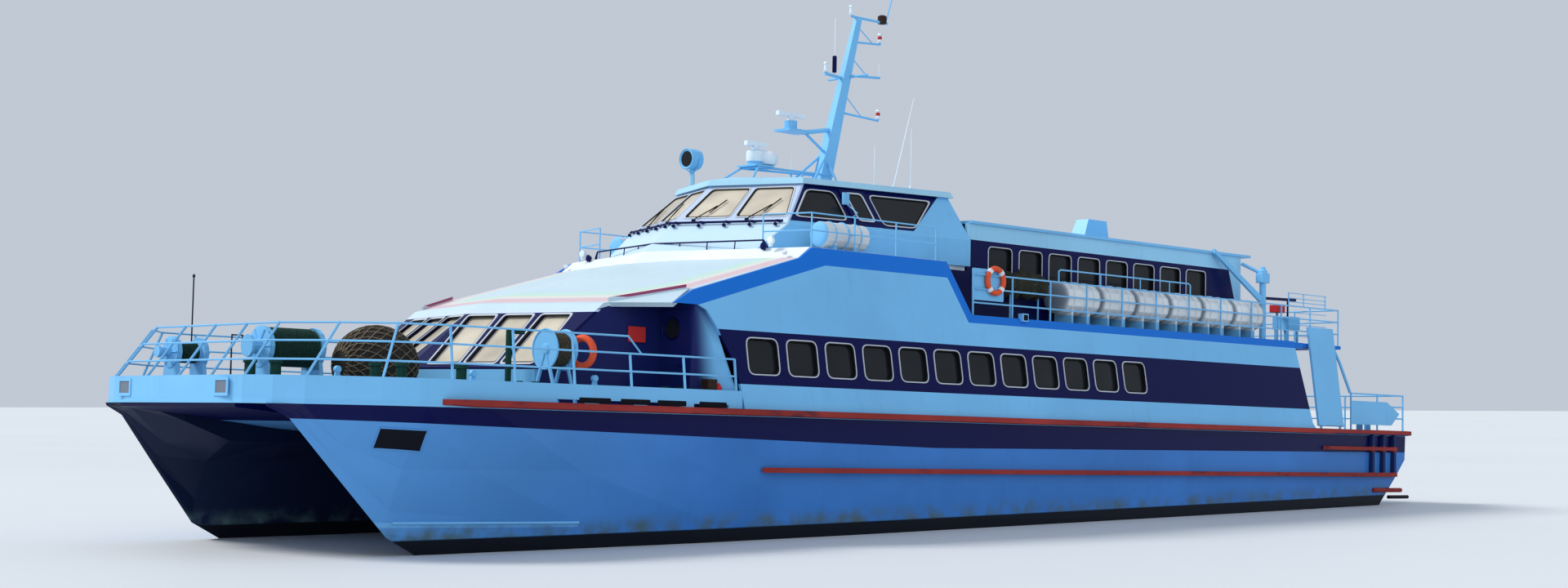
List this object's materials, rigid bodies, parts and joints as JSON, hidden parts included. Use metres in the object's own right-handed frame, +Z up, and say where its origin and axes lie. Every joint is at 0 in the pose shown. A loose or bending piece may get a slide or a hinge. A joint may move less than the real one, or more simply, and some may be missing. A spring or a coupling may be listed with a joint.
{
  "type": "passenger ferry",
  "caption": "Fast two-hulled passenger ferry with a closed saloon, an upper cabin, a raked wheelhouse, a raked pole mast and open decks.",
  "frame": {"origin": "on the centre line amidships at the waterline, where the water holds the ship up", "axes": "+X forward, +Y to port, +Z up"},
  "size_m": [38.3, 10.3, 15.5567],
  "materials": {
    "pale_blue_paint": "gloss",
    "hull_paint": "satin",
    "deck_paint": "matte",
    "white_paint": "gloss",
    "fender_rubber": "matte",
    "dark_glass": "gloss",
    "sand_glass": "gloss",
    "bronze": "satin",
    "steel_paint": "matte",
    "green_paint": "satin",
    "net_rope": "matte"
  },
  "bodies": {
    "ship": {"hull_port": "hull_paint", "hull_starboard": "hull_paint", "bridge_structure": "hull_paint", "main_deck": "deck_paint", "fore_bulwark": "pale_blue_paint", "fender_port": "fender_rubber", "fender_starboard": "fender_rubber", "side_wall_port": "pale_blue_paint", "side_wall_starboard": "pale_blue_paint", "side_glass_port": "dark_glass", "side_glass_starboard": "dark_glass", "front_wall": "pale_blue_paint", "front_glass": "sand_glass", "alcove_port": "pale_blue_paint", "alcove_starboard": "pale_blue_paint", "fore_roof": "white_paint", "upper_deck": "deck_paint", "saloon_aft_wall": "pale_blue_paint", "bridge_deck": "deck_paint", "cabin_wall_port": "pale_blue_paint", "cabin_wall_starboard": "pale_blue_paint", "cabin_glass_port": "dark_glass", "cabin_glass_starboard": "dark_glass", "cabin_aft_wall": "pale_blue_paint", "cabin_roof": "pale_blue_paint", "wheelhouse": "pale_blue_paint", "wheelhouse_roof": "pale_blue_paint", "mast": "pale_blue_paint", "foredeck_rail": "pale_blue_paint", "upper_rail": "pale_blue_paint", "stern_rail": "pale_blue_paint", "raft_rack_port": "white_paint", "raft_rack_starboard": "white_paint", "bridge_rail_port": "pale_blue_paint", "bridge_rail_starboard": "pale_blue_paint", "windlass": "green_paint", "bow_winch": "green_paint", "mooring_reel": "pale_blue_paint", "net_fender": "net_rope"},
    "alcove_door_port": {"alcove_door_port": "pale_blue_paint"},
    "alcove_door_starboard": {"alcove_door_starboard": "pale_blue_paint"},
    "saloon_door": {"saloon_door": "pale_blue_paint"},
    "cabin_door": {"cabin_door": "pale_blue_paint"},
    "wheelhouse_door_port": {"wheelhouse_door_port": "pale_blue_paint"},
    "wheelhouse_door_starboard": {"wheelhouse_door_starboard": "pale_blue_paint"},
    "radar_scanner_upper": {"radar_scanner_upper": "white_paint"},
    "radar_scanner_lower": {"radar_scanner_lower": "white_paint"},
    "searchlight": {"searchlight": "white_paint"},
    "propeller_port": {"propeller_port": "bronze"},
    "propeller_starboard": {"propeller_starboard": "bronze"},
    "rudder_port": {"rudder_port": "steel_paint"},
    "rudder_starboard": {"rudder_starboard": "steel_paint"},
    "boarding_ramp_port": {"boarding_ramp_port": "pale_blue_paint"},
    "boarding_ramp_starboard": {"boarding_ramp_starboard": "pale_blue_paint"},
    "foredeck_hatch": {"foredeck_hatch": "pale_blue_paint"},
    "davit_arm_port": {"davit_arm_port": "pale_blue_paint"},
    "davit_arm_starboard": {"davit_arm_starboard": "pale_blue_paint"}
  },
  "joints": [
    {"name": "propeller_port_spin", "type": "hinge", "parent": "ship", "child": "propeller_port", "pos_m": [-16.2, 3.7, -1.23], "axis": [1, 0, 0], "continuous": true},
    {"name": "rudder_port_steer", "type": "hinge", "parent": "ship", "child": "rudder_port", "pos_m": [-17.05, 3.7, -1.1], "axis": [0, 0, 1], "range_deg": [-35, 35]},
    {"name": "alcove_door_port_swing", "type": "hinge", "parent": "ship", "child": "alcove_door_port", "pos_m": [9.376, 3.56, 3.7], "axis": [0, 0, 1], "range_deg": [-90, 0]},
    {"name": "wheelhouse_door_port_slide", "type": "slide", "parent": "ship", "child": "wheelhouse_door_port", "axis": [-0.9863, 0.1647, 0], "range_m": [0, 0.68]},
    {"name": "boarding_ramp_port_fold", "type": "hinge", "parent": "ship", "child": "boarding_ramp_port", "pos_m": [-15, 4.985, 2.76], "axis": [1, 0, 0], "range_deg": [-100, 0]},
    {"name": "davit_port_slew", "type": "hinge", "parent": "ship", "child": "davit_arm_port", "pos_m": [-12.6, 4.25, 7], "axis": [0, 0, 1], "range_deg": [-90, 90]},
    {"name": "propeller_starboard_spin", "type": "hinge", "parent": "ship", "child": "propeller_starboard", "pos_m": [-16.2, -3.7, -1.23], "axis": [1, 0, 0], "continuous": true},
    {"name": "rudder_starboard_steer", "type": "hinge", "parent": "ship", "child": "rudder_starboard", "pos_m": [-17.05, -3.7, -1.1], "axis": [0, 0, 1], "range_deg": [-35, 35]},
    {"name": "alcove_door_starboard_swing", "type": "hinge", "parent": "ship", "child": "alcove_door_starboard", "pos_m": [9.376, -3.56, 3.7], "axis": [0, 0, 1], "range_deg": [0, 90]},
    {"name": "wheelhouse_door_starboard_slide", "type": "slide", "parent": "ship", "child": "wheelhouse_door_starboard", "axis": [-0.9863, -0.1647, 0], "range_m": [0, 0.68]},
    {"name": "boarding_ramp_starboard_fold", "type": "hinge", "parent": "ship", "child": "boarding_ramp_starboard", "pos_m": [-15, -4.985, 2.76], "axis": [1, 0, 0], "range_deg": [0, 100]},
    {"name": "davit_starboard_slew", "type": "hinge", "parent": "ship", "child": "davit_arm_starboard", "pos_m": [-12.6, -4.25, 7], "axis": [0, 0, 1], "range_deg": [-90, 90]},
    {"name": "saloon_door_swing", "type": "hinge", "parent": "ship", "child": "saloon_door", "pos_m": [-13.816, -0.45, 3.7], "axis": [0, 0, 1], "range_deg": [0, 100]},
    {"name": "cabin_door_swing", "type": "hinge", "parent": "ship", "child": "cabin_door", "pos_m": [-12.516, -1.4, 6.1], "axis": [0, 0, 1], "range_deg": [0, 100]},
    {"name": "radar_upper_turn", "type": "hinge", "parent": "ship", "child": "radar_scanner_upper", "pos_m": [2.14, 0, 10.1], "axis": [0, 0, 1], "continuous": true},
    {"name": "radar_lower_turn", "type": "hinge", "parent": "ship", "child": "radar_scanner_lower", "pos_m": [3.35, 0, 9.3], "axis": [0, 0, 1], "continuous": true},
    {"name": "searchlight_pan", "type": "hinge", "parent": "ship", "child": "searchlight", "pos_m": [4.1, -1.5, 8.9], "axis": [0, 0, 1], "range_deg": [-170, 170]},
    {"name": "foredeck_hatch_lift", "type": "hinge", "parent": "ship", "child": "foredeck_hatch", "pos_m": [14.52, -1.3, 2.704], "axis": [0, 1, 0], "range_deg": [-100, 0]}
  ]
}
